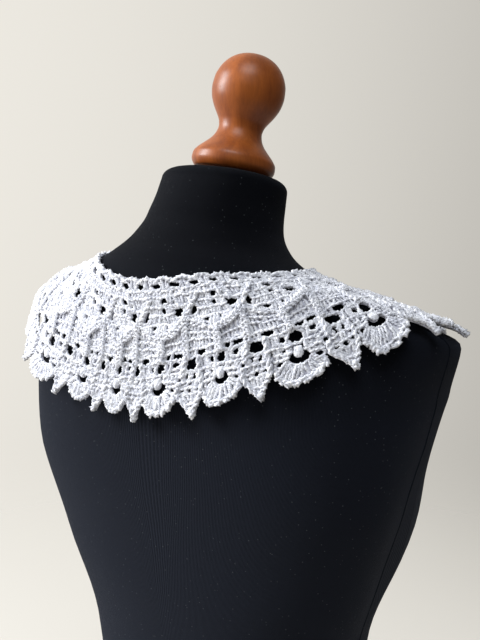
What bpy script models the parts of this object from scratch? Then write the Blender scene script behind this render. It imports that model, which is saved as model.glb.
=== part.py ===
# Crochet lace collar worn on a limbless dress form with a turned wooden neck knob.
# Metres, +Z up. The form faces -Y, so +X is the wearer's left.
# Angles about the neck are measured from centre back, growing towards the wearer's left.
import bpy
import math
import numpy as np

# ---------------------------------------------------------------- dress form sizes
RING_POINTS = 60          # points round each form section
BUST_X = 0.082            # bust point, out from centre
BUST_Z = 0.462            # bust point height
BUST_OUT = 0.038          # how far the bust stands out
BUST_WIDE = 0.055         # spread of the bust sideways
BUST_TALL = 0.047         # spread of the bust up and down
RIM_ROLL = 0.005          # rounding of the foot's edge
NECK_ROLL_IN = 0.010      # rounding of the neck's top rim, inwards
NECK_ROLL_UP = 0.0078     # and upwards

# Sections of the form, bottom to top. Half sizes in metres, lean forward in degrees.
# height, centre_y, lean, half_width, back, front, squareness
FORM_SECTIONS = (
    (0.0000, 0.0015, 0.0, 0.1789, 0.1210, 0.1072, 2.3),
    (0.0420, 0.0018, 0.0, 0.1770, 0.1191, 0.1098, 2.3),
    (0.1290, 0.0020, 0.0, 0.1500, 0.0965, 0.1055, 2.3),
    (0.2380, -0.0030, 0.0, 0.1112, 0.0700, 0.0915, 2.2),
    (0.3542, 0.0004, 0.0, 0.1165, 0.0749, 0.0937, 2.3),
    (0.4344, 0.0140, 0.0, 0.1366, 0.0705, 0.1168, 2.5),
    (0.4995, 0.0170, 0.0, 0.1562, 0.0753, 0.1199, 2.7),
    (0.5541, -0.0077, 0.0, 0.1667, 0.1036, 0.0881, 2.8),
    (0.5742, -0.0215, 3.0, 0.1702, 0.1175, 0.0696, 2.6),
    (0.6085, -0.0222, 7.5, 0.1790, 0.1168, 0.0585, 2.1),
    (0.6250, -0.0091, 11.7, 0.1575, 0.1039, 0.0580, 1.85),
    (0.6422, 0.0056, 13.9, 0.1132, 0.0872, 0.0594, 1.9),
    (0.6578, 0.0141, 15.2, 0.0788, 0.0729, 0.0584, 2.0),
    (0.6707, 0.0136, 15.9, 0.0606, 0.0645, 0.0542, 2.0),
    (0.6856, 0.0120, 16.5, 0.0515, 0.0556, 0.0521, 2.0),
    (0.7029, 0.0050, 16.6, 0.0486, 0.0517, 0.0484, 2.0),
    (0.7155, 0.0005, 14.5, 0.0490, 0.0479, 0.0433, 2.0),
)

# ---------------------------------------------------------------- neck knob sizes
KNOB_GAP = 0.0003
KNOB_POINTS = 32
KNOB_FORWARD = 0.0035     # the knob stands a little forward of the neck's middle
KNOB_ASIDE = 0.0030       # and a little towards the wearer's right
KNOB_TILT = 4.6           # degrees it leans towards the wearer's right
# Turned profile up its own axis, from the screw boss under the flange: height, radius
KNOB_PROFILE = (
    (0.0000, 0.0120),
    (0.0022, 0.0125),
    (0.0026, 0.0278),
    (0.0045, 0.0305),
    (0.0085, 0.0322),
    (0.0125, 0.0319),
    (0.0165, 0.0294),
    (0.0210, 0.0250),
    (0.0260, 0.0204),
    (0.0310, 0.0177),
    (0.0355, 0.0168),
    (0.0400, 0.0176),
    (0.0450, 0.0203),
    (0.0510, 0.0240),
    (0.0580, 0.0269),
    (0.0650, 0.0280),
    (0.0720, 0.0275),
    (0.0790, 0.0252),
    (0.0850, 0.0214),
    (0.0895, 0.0165),
    (0.0925, 0.0105),
    (0.0937, 0.0050),
)

# ---------------------------------------------------------------- collar sizes
REPEATS = 15              # leaf points round the hem, each with a fan beside it
REPEAT_AT_NECK = 0.031    # length of one repeat along the neck edge
CENTRE_COLUMN = 7         # the leaf that hangs nearest the centre back
CENTRE_OFFSET = 0.009     # how far left of centre back it hangs
FIRST_EDGE = -0.75        # front edge on the wearer's right, in repeats
AXIS_Y = 0.012            # the upright axis the angles turn about
LEAN = 3.0                # degrees the columns bow towards the wearer's right
WALL = 0.0022             # thickness of the worked lace
SEAM = 0.0003             # gap between neighbouring pieces
CLEAR = 0.0009            # gap between form and lace at the neck edge
LIFT_AT_HEM = 0.0055      # how far the hem stands off the form
FAN_LIFT = 0.0014         # the fans lift a little more than the leaves
BAND_DEPTH = 0.115        # neckband, as a share of the collar's depth
SCALLOPS = 35             # small scallops along the neck edge
SCALLOP = 0.014           # their depth, as a share of the collar's depth
STEPS = 8                 # points across one repeat

# Height of the neck edge round the neck: angle_deg, height
NECK_EDGE = (
    (-180, 0.6290),
    (-140, 0.6450),
    (-90, 0.6570),
    (-58, 0.6606),
    (-34, 0.6617),
    (-12, 0.6585),
    (12, 0.6552),
    (33, 0.6580),
    (52, 0.6625),
    (90, 0.6610),
    (140, 0.6460),
    (180, 0.6290),
)

# Where each leaf point reaches at the hem: column, hem_angle_deg, depth
HEM = (
    (-0.75, -174.0, 0.099),
    (0, -154.5, 0.100),
    (1, -131.0, 0.108),
    (2, -106.4, 0.118),
    (3, -89.9, 0.1003),
    (4, -71.2, 0.0900),
    (5, -50.0, 0.0902),
    (6, -27.5, 0.0953),
    (7, 4.5, 0.0990),
    (8, 28.0, 0.0998),
    (9, 48.0, 0.1052),
    (10, 70.0, 0.1160),
    (11, 92.0, 0.108),
    (12, 114.0, 0.103),
    (13, 137.0, 0.100),
    (14, 159.0, 0.099),
    (14.25, 164.0, 0.099),
)

# Soft folds that grow towards the hem: column, half_width, height
FOLDS = (
    (0.6, 0.8, 0.0030),
    (3.4, 0.7, 0.0026),
    (5.6, 0.6, 0.0016),
    (10.0, 0.9, 0.0050),
    (12.4, 0.8, 0.0026),
)

# Edges of the pieces across half a repeat, as shares of the depth:
# place (0 = leaf line, 0.5 = fan line), upper_tier_edge, lower_tier_edge, hem
EDGES = (
    (0.0000, 0.300, 0.655, 1.000),
    (0.0625, 0.310, 0.693, 0.950),
    (0.1250, 0.335, 0.731, 0.903),
    (0.1875, 0.370, 0.7655, 0.860),
    (0.2500, 0.395, 0.800, 0.825),
    (0.3125, 0.412, 0.769, 0.892),
    (0.3750, 0.422, 0.738, 0.926),
    (0.4375, 0.428, 0.724, 0.943),
    (0.5000, 0.430, 0.710, 0.948),
)


def smooth(xs, ys, at):
    """Monotone cubic through a short table."""
    x = np.asarray(xs, float)
    y = np.asarray(ys, float)
    h = np.diff(x)
    d = np.diff(y) / h
    m = np.zeros_like(y)
    m[0] = d[0]
    m[-1] = d[-1]
    for i in range(1, len(x) - 1):
        if d[i - 1] * d[i] > 0:
            a = 2 * h[i] + h[i - 1]
            b = h[i] + 2 * h[i - 1]
            m[i] = (a + b) / (a / d[i - 1] + b / d[i])
    at = np.asarray(at, float)
    i = np.clip(np.searchsorted(x, at) - 1, 0, len(x) - 2)
    t = (at - x[i]) / h[i]
    rise = t * t * (3 - 2 * t)
    start = t * (1 - t) ** 2 * h[i] * m[i]
    end = t * t * (t - 1) * h[i] * m[i + 1]
    return (1 - rise) * y[i] + rise * y[i + 1] + start + end


SECTION = np.array(FORM_SECTIONS)
LAST = len(FORM_SECTIONS) - 1


def form_point(k, t):
    """Point on the form at section number k and turn t; both arrays of one shape."""
    steps = np.arange(LAST + 1)
    z, cy, lean, half, back, front, sq = (smooth(steps, SECTION[:, i], k) for i in range(7))
    c = np.cos(t)
    s = np.sin(t)
    power = 2 / sq
    x = half * np.sign(c) * np.abs(c) ** power
    y = np.where(s > 0, back, front) * np.sign(s) * np.abs(s) ** power
    z = z + y * np.sin(np.radians(lean))
    y = cy + y * np.cos(np.radians(lean))
    for side in (1, -1):
        far = ((x - side * BUST_X) / BUST_WIDE) ** 2 + ((z - BUST_Z) / BUST_TALL) ** 2
        swell = np.exp(-far) * (y < 0)
        y = y - BUST_OUT * swell
        x = x + side * 0.0126 * swell
    return np.stack([x, y, z], -1)


TURNS = np.linspace(0, 2 * np.pi, 721)[:-1]
LEVELS = np.linspace(5.5, 14.5, 361)


def angle_table():
    """For each level of the form, the turn that lies at each angle about the neck."""
    k, t = np.meshgrid(LEVELS, TURNS, indexing="ij")
    p = form_point(k, t)
    angle = np.arctan2(p[..., 0], p[..., 1] - AXIS_Y)
    want = np.radians(np.linspace(-180, 180, 361))
    table = np.zeros((len(LEVELS), len(want)))
    for i in range(len(LEVELS)):
        order = np.argsort(angle[i])
        a = angle[i][order]
        turn = np.unwrap(TURNS[order])
        a = np.concatenate([a[-3:] - 2 * np.pi, a, a[:3] + 2 * np.pi])
        turn = np.concatenate([turn[-3:] + 2 * np.pi, turn, turn[:3] - 2 * np.pi])
        table[i] = np.interp(want, a, turn)
    return table


TURN_AT = angle_table()


def form_at(k, angle_deg):
    """Point on the form at level k and at an angle about the neck."""
    row = np.clip((k - LEVELS[0]) / (LEVELS[1] - LEVELS[0]), 0, len(LEVELS) - 1.001)
    col = np.clip(angle_deg + 180, 0, 359.999)
    i = row.astype(int)
    j = col.astype(int)
    u = row - i
    v = col - j
    t = (1 - u) * (1 - v) * TURN_AT[i, j] + (1 - u) * v * TURN_AT[i, j + 1]
    t = t + u * (1 - v) * TURN_AT[i + 1, j] + u * v * TURN_AT[i + 1, j + 1]
    return form_point(k, t)


def neck_level(angle_deg):
    """Level of the form at the height of the neck edge, for each angle."""
    deg, height = zip(*NECK_EDGE)
    want = smooth(deg, height, angle_deg)
    levels = np.linspace(10.0, 14.4, 111)
    k, a = np.meshgrid(levels, angle_deg, indexing="ij")
    z = form_at(k, a)[..., 2]
    out = np.zeros(len(angle_deg))
    for i in range(len(angle_deg)):
        out[i] = np.interp(want[i], z[:, i], levels)
    return out


def neck_angles(columns):
    """Angle of each column where it starts, evenly spaced along the neck edge."""
    deg = np.linspace(-179.5, 179.5, 360)
    p = form_at(neck_level(deg), deg)
    run = np.concatenate([[0], np.cumsum(np.linalg.norm(np.diff(p, axis=0), axis=1))])
    run = run - np.interp(0, deg, run)
    at = CENTRE_OFFSET + REPEAT_AT_NECK * (columns - CENTRE_COLUMN)
    return np.interp(at, run, deg)


def lace_lines(columns):
    """Each column's line down the form from neck edge to hem: points, outward
    directions and depth reached, at 160 even levels."""
    number, hem_deg, depth = zip(*HEM)
    start = neck_angles(columns)
    end = smooth(number, hem_deg, columns)
    reach = smooth(number, depth, columns)
    top = neck_level(start)
    count = 160
    share = np.linspace(0, 1, count)[:, None]
    k = top - (top - 5.6) * share
    v = share * np.ones_like(k) * 2.0
    for _ in range(6):
        w = np.clip(v, 0, 1)
        angle = start + (end - start) * (1 - (1 - w) ** 2) - LEAN * np.sin(np.pi * w)
        p = form_at(k, angle)
        step = np.linalg.norm(np.diff(p, axis=0), axis=2)
        run = np.concatenate([np.zeros((1, len(columns))), np.cumsum(step, axis=0)])
        v = run / reach
    return p, v, k, angle


def outward(k, angle):
    """Unit direction straight out from the form."""
    e = 0.02
    up = form_at(k + e, angle) - form_at(k - e, angle)
    round_ = form_at(k, np.clip(angle + 0.5, -180, 180)) - form_at(k, np.clip(angle - 0.5, -180, 180))
    n = np.cross(up, round_)
    n = n / np.linalg.norm(n, axis=-1, keepdims=True)
    mid = form_at(k, angle) - np.array([0, 0, 0.5])
    n = n * np.sign((n * mid).sum(-1))[..., None]
    return n


def lace_sheet(columns, v_want):
    """Points on the inner face of the lace and their outward directions.
    columns has one entry a column; v_want has a row of depths for each column."""
    p, v, k, angle = lace_lines(columns)
    rows = v_want.shape[1]
    inner = np.zeros((len(columns), rows, 3))
    out = np.zeros((len(columns), rows, 3))
    for i in range(len(columns)):
        kk = np.interp(v_want[i], v[:, i], k[:, i])
        aa = np.interp(v_want[i], v[:, i], angle[:, i])
        out[i] = outward(kk, aa)
        inner[i] = form_at(kk, aa)
    place = columns[:, None] % 1.0
    lift = CLEAR + LIFT_AT_HEM * v_want ** 1.6
    lift = lift + FAN_LIFT * v_want ** 2 * (1 - np.cos(2 * np.pi * place)) / 2
    for column, half, height in FOLDS:
        shape = np.exp(-((columns[:, None] - column) / half) ** 2)
        lift = lift + height * shape * v_want ** 2
    return inner + out * lift[..., None], out


def edge(name, columns):
    """Depth share of a piece edge at each column."""
    col = {"upper": 1, "lower": 2, "hem": 3}[name]
    table = np.array(EDGES)
    a = np.abs((columns + 0.5) % 1.0 - 0.5)
    return np.interp(a, table[:, 0], table[:, col])


def clear_scene():
    for ob in list(bpy.data.objects):
        bpy.data.objects.remove(ob, do_unlink=True)


def make_material(name, color, roughness, sheen):
    mat = bpy.data.materials.new(name)
    mat.use_nodes = True
    shader = mat.node_tree.nodes["Principled BSDF"]
    shader.inputs["Base Color"].default_value = (*color, 1)
    shader.inputs["Roughness"].default_value = roughness
    shader.inputs["Sheen Weight"].default_value = sheen
    return mat


def add_body(name, verts, faces, material, round_shade):
    mesh = bpy.data.meshes.new(name)
    mesh.from_pydata([tuple(map(float, v)) for v in verts], [], faces)
    mesh.validate()
    mesh.materials.append(material)
    if round_shade:
        mesh.polygons.foreach_set("use_smooth", [True] * len(mesh.polygons))
    ob = bpy.data.objects.new(name, mesh)
    bpy.context.collection.objects.link(ob)
    return ob


def tube_faces(rings, around, closed_ends):
    """Quads between stacked rings, with flat ends."""
    faces = []
    for i in range(rings - 1):
        for j in range(around):
            n = (j + 1) % around
            faces.append((i * around + j, i * around + n, (i + 1) * around + n, (i + 1) * around + j))
    if closed_ends:
        faces.append(tuple(range(around - 1, -1, -1)))
        faces.append(tuple((rings - 1) * around + j for j in range(around)))
    return faces


def wall_body(name, inner, outer, material):
    """A closed wall from an inner and an outer grid of the same shape."""
    n, m = inner.shape[:2]
    verts = list(inner.reshape(-1, 3)) + list(outer.reshape(-1, 3))
    far = n * m
    faces = []
    for i in range(n - 1):
        for j in range(m - 1):
            a = i * m + j
            b = (i + 1) * m + j
            faces.append((a, a + 1, b + 1, b))
            faces.append((far + a, far + b, far + b + 1, far + a + 1))
    for i in range(n - 1):
        a = i * m
        b = (i + 1) * m
        faces.append((a, b, far + b, far + a))
        a = i * m + m - 1
        b = (i + 1) * m + m - 1
        faces.append((b, a, far + a, far + b))
    for j in range(m - 1):
        a = j
        faces.append((a + 1, a, far + a, far + a + 1))
        a = (n - 1) * m + j
        faces.append((a, a + 1, far + a + 1, far + a))
    return add_body(name, verts, faces, material, True)


def lace_piece(name, columns, top, bottom, rows, material, straight_top=False):
    """A piece of the lace between two edges given as depth shares. With straight_top
    every other point of the top edge lies midway between its neighbours, so that the
    seam keeps even beside a piece with half as many points."""
    share = np.linspace(0, 1, rows + 1)[None, :]
    v = top[:, None] + (bottom - top)[:, None] * share
    inner, out = lace_sheet(columns, v)
    outer = inner + out * WALL
    if straight_top:
        for face in (inner, outer):
            face[1:-1:2, 0] = (face[:-2:2, 0] + face[2::2, 0]) / 2
    return wall_body(name, inner, outer, material)


def neck_top():
    """Centre and upright direction of the neck's flat top."""
    z, cy, lean = SECTION[LAST, 0], SECTION[LAST, 1], math.radians(SECTION[LAST, 2])
    back, front = SECTION[LAST, 4], SECTION[LAST, 5]
    middle = (back - front) / 2
    up = np.array([0, -math.sin(lean), math.cos(lean)])
    centre = np.array([0, cy + middle * math.cos(lean), z + middle * math.sin(lean)])
    return centre + up * NECK_ROLL_UP, up


def build_form(material):
    """The torso, one smooth closed body with a flat foot and a flat neck top."""
    t = np.linspace(0, 2 * np.pi, RING_POINTS, endpoint=False) + np.pi / RING_POINTS
    rings = []
    foot = form_point(np.zeros_like(t), t)
    middle = np.array([0, SECTION[0, 1], 0])
    for turn in (0, 45):
        inset = RIM_ROLL * (1 - math.sin(math.radians(turn)))
        rise = RIM_ROLL * (1 - math.cos(math.radians(turn)))
        away = foot - middle
        away = away / np.linalg.norm(away, axis=1, keepdims=True)
        rings.append(foot - away * inset + np.array([0, 0, rise]))
    levels = np.concatenate([
        np.linspace(0.2, 5, 11)[:-1],
        np.linspace(5, 11, 15)[:-1],
        np.linspace(11, LAST, 10),
    ])
    for level in levels:
        rings.append(form_point(np.full_like(t, level), t))
    top, up = neck_top()
    rim = rings[-1]
    away = rim - (top - up * NECK_ROLL_UP)
    away = away / np.linalg.norm(away, axis=1, keepdims=True)
    for turn in (25, 50, 72, 90):
        inset = NECK_ROLL_IN * (1 - math.cos(math.radians(turn)))
        rise = NECK_ROLL_UP * math.sin(math.radians(turn))
        rings.append(rim - away * inset + up * rise)
    verts = np.concatenate(rings)
    faces = tube_faces(len(rings), RING_POINTS, True)
    return add_body("form_torso", verts, faces, material, True)


def knob_axis():
    """Foot point, upright direction and two sideways directions of the knob."""
    top, neck_up = neck_top()
    tilt = math.radians(KNOB_TILT)
    up = neck_up * math.cos(tilt) - np.array([math.sin(tilt), 0, 0])
    side = np.array([math.cos(tilt), 0, 0]) + neck_up * math.sin(tilt)
    fore = np.cross(up, side)
    away = np.cross(neck_up, np.array([1.0, 0, 0]))
    low = KNOB_PROFILE[0][1] * math.sin(tilt)
    foot = top + neck_up * (KNOB_GAP + low) - away * KNOB_FORWARD - np.array([KNOB_ASIDE, 0, 0])
    return foot, up, side, fore


def build_knob(material):
    """The turned wooden knob that stands on the neck's top."""
    foot, up, side, fore = knob_axis()
    height, radius = zip(*KNOB_PROFILE)
    turn = np.linspace(0, 2 * np.pi, KNOB_POINTS, endpoint=False)
    rings = []
    for h, r in zip(height, radius):
        circle = np.cos(turn)[:, None] * side + np.sin(turn)[:, None] * fore
        rings.append(foot + up * h + circle * r)
    verts = np.concatenate(rings)
    faces = tube_faces(len(rings), KNOB_POINTS, True)
    return add_body("neck_knob", verts, faces, material, True)


def build_neckband(material, columns):
    """Band of upright stitches along the neck, with small scallops on top."""
    dips = np.abs(np.sin(np.pi * (columns - FIRST_EDGE) * SCALLOPS / REPEATS))
    top = SCALLOP * (1 - dips)
    bottom = np.full_like(columns, BAND_DEPTH)
    lace_piece("collar_neckband", columns, top, bottom, 1, material)


def build_tiers(material, columns):
    """The two worked tiers between the neckband and the hem motifs."""
    gap = SEAM / 0.095
    top = np.full_like(columns, BAND_DEPTH + gap)
    middle = edge("upper", columns)
    lace_piece("collar_upper_tier", columns, top, middle, 2, material)
    lace_piece("collar_lower_tier", columns, middle + gap, edge("lower", columns), 4, material)


def build_motifs(material):
    """A rounded fan and a pointed leaf for every repeat along the hem."""
    gap = 1.25 * SEAM / 0.09
    side = 0.25 - SEAM / 0.085
    for i in range(REPEATS):
        for kind, centre, points in (("fan", i - 0.5, 9), ("leaf", float(i), 5)):
            columns = centre + np.linspace(-0.25, 0.25, points)
            top = edge("lower", columns) + gap
            bottom = edge("hem", columns)
            columns[0] = centre - side
            columns[-1] = centre + side
            name = f"{kind}_{i:02d}"
            rows = 2 if kind == "fan" else 3
            lace_piece(name, columns, top, bottom, rows, material, straight_top=kind == "fan")


def stand_on_origin():
    """Put the middle of the underside of the whole thing at the origin."""
    points = [v.co for ob in bpy.data.objects for v in ob.data.vertices]
    low = [min(p[i] for p in points) for i in range(3)]
    high = [max(p[i] for p in points) for i in range(3)]
    shift = np.array([-(low[0] + high[0]) / 2, -(low[1] + high[1]) / 2, -low[2]])
    for ob in bpy.data.objects:
        for v in ob.data.vertices:
            v.co.x += shift[0]
            v.co.y += shift[1]
            v.co.z += shift[2]


clear_scene()
jersey = make_material("black_jersey", (0.018, 0.018, 0.021), 0.85, 0.3)
wood = make_material("stained_wood", (0.30, 0.085, 0.028), 0.32, 0.0)
lace = make_material("white_cotton_lace", (0.83, 0.84, 0.86), 0.9, 0.2)
build_form(jersey)
build_knob(wood)
all_columns = FIRST_EDGE + np.arange(REPEATS * STEPS + 1) / STEPS
build_neckband(lace, all_columns)
build_tiers(lace, all_columns)
build_motifs(lace)
stand_on_origin()
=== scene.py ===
import math
import bpy
import numpy as np
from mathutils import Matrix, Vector


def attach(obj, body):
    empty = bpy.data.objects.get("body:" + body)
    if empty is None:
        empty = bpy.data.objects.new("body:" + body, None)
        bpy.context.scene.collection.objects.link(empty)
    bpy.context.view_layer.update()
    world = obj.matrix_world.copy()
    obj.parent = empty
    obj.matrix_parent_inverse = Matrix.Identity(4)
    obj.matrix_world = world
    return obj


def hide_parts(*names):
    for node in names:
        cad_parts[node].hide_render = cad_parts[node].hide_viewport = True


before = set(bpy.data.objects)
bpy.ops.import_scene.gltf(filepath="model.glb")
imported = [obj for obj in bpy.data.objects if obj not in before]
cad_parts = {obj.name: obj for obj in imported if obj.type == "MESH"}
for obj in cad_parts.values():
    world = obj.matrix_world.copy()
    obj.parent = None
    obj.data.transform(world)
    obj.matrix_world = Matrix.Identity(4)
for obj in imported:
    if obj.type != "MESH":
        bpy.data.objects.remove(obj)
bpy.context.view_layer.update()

# ---------------- dress form torso
# A limbless torso, moulded hollow and covered in a stretched sleeve of black ribbed
# jersey. The ribs run from neck to hip. It stands on its flat foot.

# Sections of the form, bottom to top. Half sizes in metres, lean forward in degrees.
# height, centre_y, lean, half_width, back, front, squareness
FORM_SECTIONS = (
    (0.0000, 0.0015, 0.0, 0.1789, 0.1210, 0.1072, 2.3),
    (0.0420, 0.0018, 0.0, 0.1770, 0.1191, 0.1098, 2.3),
    (0.1290, 0.0020, 0.0, 0.1500, 0.0965, 0.1055, 2.3),
    (0.2380, -0.0030, 0.0, 0.1112, 0.0700, 0.0915, 2.2),
    (0.3542, 0.0004, 0.0, 0.1165, 0.0749, 0.0937, 2.3),
    (0.4344, 0.0140, 0.0, 0.1366, 0.0705, 0.1168, 2.5),
    (0.4995, 0.0170, 0.0, 0.1562, 0.0753, 0.1199, 2.7),
    (0.5541, -0.0077, 0.0, 0.1667, 0.1036, 0.0881, 2.8),
    (0.5742, -0.0215, 3.0, 0.1702, 0.1175, 0.0696, 2.6),
    (0.6085, -0.0222, 7.5, 0.1790, 0.1168, 0.0585, 2.1),
    (0.6250, -0.0091, 11.7, 0.1575, 0.1039, 0.0580, 1.85),
    (0.6422, 0.0056, 13.9, 0.1132, 0.0872, 0.0594, 1.9),
    (0.6578, 0.0141, 15.2, 0.0788, 0.0729, 0.0584, 2.0),
    (0.6707, 0.0136, 15.9, 0.0606, 0.0645, 0.0542, 2.0),
    (0.6856, 0.0120, 16.5, 0.0515, 0.0556, 0.0521, 2.0),
    (0.7029, 0.0050, 16.6, 0.0486, 0.0517, 0.0484, 2.0),
    (0.7155, 0.0005, 14.5, 0.0490, 0.0479, 0.0433, 2.0),
)
SECTION = np.array(FORM_SECTIONS)
LAST = len(FORM_SECTIONS) - 1
BUST_X = 0.082  # bust point, out from centre
BUST_Z = 0.462  # bust point height
BUST_OUT = 0.038  # how far the bust stands out
BUST_WIDE = 0.055
BUST_TALL = 0.047
BUST_ASIDE = 0.0126  # how far the swell turns outwards
RIM_ROLL = 0.005  # rounding of the foot's edge
NECK_ROLL_IN = 0.010  # rounding of the neck's top rim, inwards
NECK_ROLL_UP = 0.0078  # and upwards
STAND = np.array([0.0, 0.0046, 0.0])  # from the form's own axis to the model's origin


def smooth(xs, ys, at):
    """Monotone cubic through a short table."""
    x = np.asarray(xs, float)
    y = np.asarray(ys, float)
    h = np.diff(x)
    d = np.diff(y) / h
    m = np.zeros_like(y)
    m[0] = d[0]
    m[-1] = d[-1]
    for i in range(1, len(x) - 1):
        if d[i - 1] * d[i] > 0:
            a = 2 * h[i] + h[i - 1]
            b = h[i] + 2 * h[i - 1]
            m[i] = (a + b) / (a / d[i - 1] + b / d[i])
    at = np.asarray(at, float)
    i = np.clip(np.searchsorted(x, at) - 1, 0, len(x) - 2)
    t = (at - x[i]) / h[i]
    rise = t * t * (3 - 2 * t)
    start = t * (1 - t) ** 2 * h[i] * m[i]
    end = t * t * (t - 1) * h[i] * m[i + 1]
    return (1 - rise) * y[i] + rise * y[i + 1] + start + end


def form_point(k, t):
    """Point on the form at section number k and turn t; both arrays of one shape."""
    steps = np.arange(LAST + 1)
    z, cy, lean, half, back, front, sq = (smooth(steps, SECTION[:, i], k) for i in range(7))
    c = np.cos(t)
    s = np.sin(t)
    power = 2 / sq
    x = half * np.sign(c) * np.abs(c) ** power
    y = np.where(s > 0, back, front) * np.sign(s) * np.abs(s) ** power
    z = z + y * np.sin(np.radians(lean))
    y = cy + y * np.cos(np.radians(lean))
    for side in (1, -1):
        far = ((x - side * BUST_X) / BUST_WIDE) ** 2 + ((z - BUST_Z) / BUST_TALL) ** 2
        swell = np.exp(-far) * (y < 0)
        y = y - BUST_OUT * swell
        x = x + side * BUST_ASIDE * swell
    return np.stack([x, y, z], -1)


def unit(vectors):
    """The same directions, each of length one."""
    return vectors / np.linalg.norm(vectors, axis=-1, keepdims=True)


def run_along(points):
    """Length run along a line at each of its points."""
    step = np.linalg.norm(np.diff(points, axis=0), axis=1)
    return np.concatenate([[0], np.cumsum(step)])


def circle_of(count):
    """Turns spaced evenly round a circle."""
    return np.linspace(0, 2 * np.pi, count, endpoint=False)


def mesh_piece(name, verts, faces, material, uv=None):
    """One object from points and faces; faces is a list of arrays, each with faces
    of one number of corners."""
    mesh = bpy.data.meshes.new(name)
    mesh.from_pydata(verts, [], [face for group in faces for face in group.tolist()], False)
    mesh.validate()
    if uv is not None:
        corners = np.concatenate([group.reshape(-1) for group in faces])
        layer = mesh.uv_layers.new(name="UVMap")
        layer.data.foreach_set("uv", np.asarray(uv, np.float32)[corners].reshape(-1))
    mesh.materials.append(material)
    ob = bpy.data.objects.new(name, mesh)
    bpy.context.collection.objects.link(ob)
    return ob


def set_inputs(tree, made, inputs):
    """Sets a shader node's inputs to values or links."""
    for key, value in inputs.items():
        if isinstance(value, bpy.types.NodeSocket):
            tree.links.new(value, made.inputs[key])
        else:
            made.inputs[key].default_value = value


def node(tree, kind, inputs, give=0, **settings):
    """Adds a shader node and gives one of its outputs."""
    made = tree.nodes.new("ShaderNode" + kind)
    for key, value in settings.items():
        setattr(made, key, value)
    set_inputs(tree, made, inputs)
    return made.outputs[give]


def tone_ramp(tree, factor, low, high):
    """Colour that runs from low to high, each given as a place on the ramp and a colour."""
    tone = node(tree, "ValToRGB", {"Fac": factor})
    for stop, (at, colour) in zip(tone.node.color_ramp.elements, (low, high)):
        stop.position = at
        stop.color = (*colour, 1)
    return tone


def new_material(name, roughness, sheen=0.0, specular=0.5):
    mat = bpy.data.materials.new(name)
    mat.use_nodes = True
    shader = mat.node_tree.nodes["Principled BSDF"]
    set_inputs(mat.node_tree, shader, {"Roughness": roughness, "Sheen Weight": sheen,
               "Specular IOR Level": specular})
    return mat, mat.node_tree, shader


def finish_surface(tree, shader, colour, height, strength, distance):
    """Gives the shader its colour and a fine bump that follows height."""
    bump = node(tree, "Bump", {"Height": height, "Strength": strength, "Distance": distance})
    set_inputs(tree, shader, {"Base Color": colour, "Normal": bump})


def jersey_material():
    """Fine black rib: upright wales that barely show, a soft nap, and specks of lint.
    Towards the neck its colour and its sheen are turned down as painted shade, so the neck is
    painted blacker."""
    mat, tree, shader = new_material("black_rib_jersey", 0.92, specular=0.08)
    uv = node(tree, "TexCoord", {}, "UV")
    place = node(tree, "TexCoord", {}, "Object")
    wales = node(tree, "Mapping", {"Vector": uv, "Scale": (WALES, 1.0, 1.0)})
    wave = node(tree, "TexWave", {"Vector": wales, "Scale": WAVE_TO_WALE, "Distortion": 0.0},
                "Fac", wave_type="BANDS", bands_direction="X")
    loops = node(tree, "Mapping", {"Vector": uv, "Scale": (WALES * 2, COURSES, 1.0)})
    knit = node(tree, "TexNoise", {"Vector": loops, "Scale": 1.0, "Detail": 1.0}, "Fac")
    both = node(tree, "Math", {0: wave, 1: knit}, operation="ADD")
    tone = tone_ramp(tree, both, (0.3, (0.0036, 0.0044, 0.0072)),
                     (1.0, (0.0078, 0.0096, 0.0158)))
    height = node(tree, "SeparateXYZ", {"Vector": place}, "Z")
    # Painted shade: colour and sheen fall to 0.30 of their value between 0.55 m and 0.68 m
    # up, darkening the neck.
    neck_painted_shade = node(tree, "MapRange", {"Value": height, "From Min": 0.55, "From Max": 0.68,
                   "To Min": 1.0, "To Max": 0.30})
    nap_with_painted_shade = node(tree, "Math", {0: neck_painted_shade, 1: 0.05}, operation="MULTIPLY")
    tone_with_painted_shade = node(tree, "VectorMath", {0: tone, "Scale": neck_painted_shade}, operation="SCALE")
    lint = node(tree, "TexVoronoi", {"Vector": place, "Scale": 230.0, "Randomness": 1.0},
                "Distance")
    speck = node(tree, "MapRange", {"Value": lint, "From Min": 0.05, "From Max": 0.10,
                 "To Min": 0.5, "To Max": 0.0})
    linty = node(tree, "Mix", {0: speck, 6: tone_with_painted_shade, 7: (0.13, 0.14, 0.15, 1)}, 2,
                 data_type="RGBA")
    set_inputs(tree, shader, {"Sheen Weight": nap_with_painted_shade, "Sheen Roughness": 0.5,
               "Sheen Tint": (0.62, 0.72, 1.0, 1)})
    finish_surface(tree, shader, linty, both, 0.35, 0.0004)
    return mat


AROUND = 144  # points round the form
WALES = 900.0  # ribs of the jersey round the form
WAVE_TO_WALE = 0.3183  # makes one wave of the bands to a rib, near enough
COURSES = 480.0  # loops of the knit to a metre of height
SEAM_THICK = 0.0006  # half width of the seam's ridge
SEAM_ROUND = 6  # points round the seam's ridge
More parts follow.
